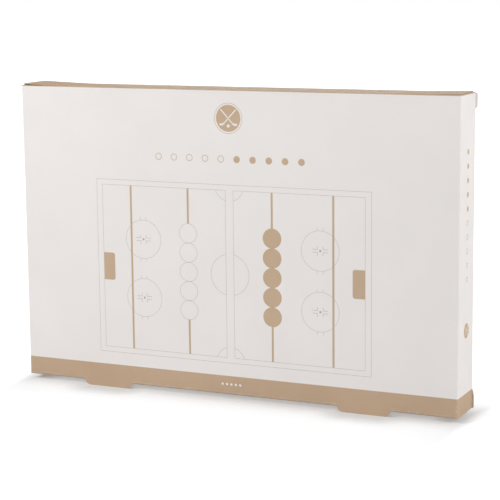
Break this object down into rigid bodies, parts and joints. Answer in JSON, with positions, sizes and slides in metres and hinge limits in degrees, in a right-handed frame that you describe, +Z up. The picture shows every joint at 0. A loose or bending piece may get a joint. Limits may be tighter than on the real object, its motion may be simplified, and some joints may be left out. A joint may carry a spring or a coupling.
{
  "type": "wooden table hockey game",
  "caption": "Slim card carton on card feet with a tray that slides up out of it, holding a wooden table hockey game: railed board, gated centre bar, elastic cords and loose pucks.",
  "frame": {"origin": "on the floor under the middle of the standing carton", "axes": "+X along the carton to the right of its printed front, -Y out of the front, +Z up; the tray and the pucks slide along +Z"},
  "size_m": [0.47, 0.045, 0.3065],
  "materials": {
    "white_card": "matte printed card",
    "tan_card": "matte printed card",
    "board_wood": "satin lacquered plywood",
    "rail_wood": "satin lacquered beech",
    "light_puck_wood": "satin lacquered, natural",
    "tan_puck_paint": "satin tan paint",
    "elastic_cord": "braided elastic",
    "foot_rubber": "matte",
    "screw_steel": "zinc plated"
  },
  "bodies": {
    "carton": {"front_panel": "white_card", "back_panel": "white_card", "left_side_panel": "white_card", "right_side_panel": "white_card", "bottom_panel": "white_card", "left_dust_flap": "white_card", "right_dust_flap": "white_card", "glue_flap": "white_card"},
    "tray": {"tray_back": "tan_card", "tray_top_wall": "tan_card", "tray_bottom_wall": "tan_card", "tray_left_wall": "tan_card", "tray_right_wall": "tan_card", "packing_channel": "tan_card", "playing_board": "board_wood", "lower_rail": "rail_wood", "upper_rail": "rail_wood", "left_end_rail": "rail_wood", "right_end_rail": "rail_wood", "centre_bar": "rail_wood", "left_lower_rear_dowel": "rail_wood", "left_lower_front_dowel": "rail_wood", "left_upper_rear_dowel": "rail_wood", "left_upper_front_dowel": "rail_wood", "right_lower_rear_dowel": "rail_wood", "right_lower_front_dowel": "rail_wood", "right_upper_rear_dowel": "rail_wood", "right_upper_front_dowel": "rail_wood", "lower_bar_screw": "screw_steel", "upper_bar_screw": "screw_steel", "left_elastic_cord": "elastic_cord", "right_elastic_cord": "elastic_cord", "left_lower_rubber_foot": "foot_rubber", "left_upper_rubber_foot": "foot_rubber", "right_lower_rubber_foot": "foot_rubber", "right_upper_rubber_foot": "foot_rubber"},
    "light_puck_1": {"light_puck_1": "light_puck_wood"},
    "light_puck_2": {"light_puck_2": "light_puck_wood"},
    "light_puck_3": {"light_puck_3": "light_puck_wood"},
    "light_puck_4": {"light_puck_4": "light_puck_wood"},
    "light_puck_5": {"light_puck_5": "light_puck_wood"},
    "tan_puck_1": {"tan_puck_1": "tan_puck_paint"},
    "tan_puck_2": {"tan_puck_2": "tan_puck_paint"},
    "tan_puck_3": {"tan_puck_3": "tan_puck_paint"},
    "tan_puck_4": {"tan_puck_4": "tan_puck_paint"},
    "tan_puck_5": {"tan_puck_5": "tan_puck_paint"}
  },
  "joints": [
    {"name": "tray_slide", "type": "slide", "parent": "carton", "child": "tray", "axis": [0, 0, 1], "range_m": [0, 0.28]},
    {"name": "light_puck_1_slide", "type": "slide", "parent": "tray", "child": "light_puck_1", "axis": [0, 0, 1], "range_m": [0, 0.222]},
    {"name": "light_puck_2_slide", "type": "slide", "parent": "tray", "child": "light_puck_2", "axis": [0, 0, 1], "range_m": [0, 0.222]},
    {"name": "light_puck_3_slide", "type": "slide", "parent": "tray", "child": "light_puck_3", "axis": [0, 0, 1], "range_m": [0, 0.222]},
    {"name": "light_puck_4_slide", "type": "slide", "parent": "tray", "child": "light_puck_4", "axis": [0, 0, 1], "range_m": [0, 0.222]},
    {"name": "light_puck_5_slide", "type": "slide", "parent": "tray", "child": "light_puck_5", "axis": [0, 0, 1], "range_m": [0, 0.222]},
    {"name": "tan_puck_1_slide", "type": "slide", "parent": "tray", "child": "tan_puck_1", "axis": [0, 0, 1], "range_m": [0, 0.222]},
    {"name": "tan_puck_2_slide", "type": "slide", "parent": "tray", "child": "tan_puck_2", "axis": [0, 0, 1], "range_m": [0, 0.222]},
    {"name": "tan_puck_3_slide", "type": "slide", "parent": "tray", "child": "tan_puck_3", "axis": [0, 0, 1], "range_m": [0, 0.222]},
    {"name": "tan_puck_4_slide", "type": "slide", "parent": "tray", "child": "tan_puck_4", "axis": [0, 0, 1], "range_m": [0, 0.222]},
    {"name": "tan_puck_5_slide", "type": "slide", "parent": "tray", "child": "tan_puck_5", "axis": [0, 0, 1], "range_m": [0, 0.222]}
  ]
}
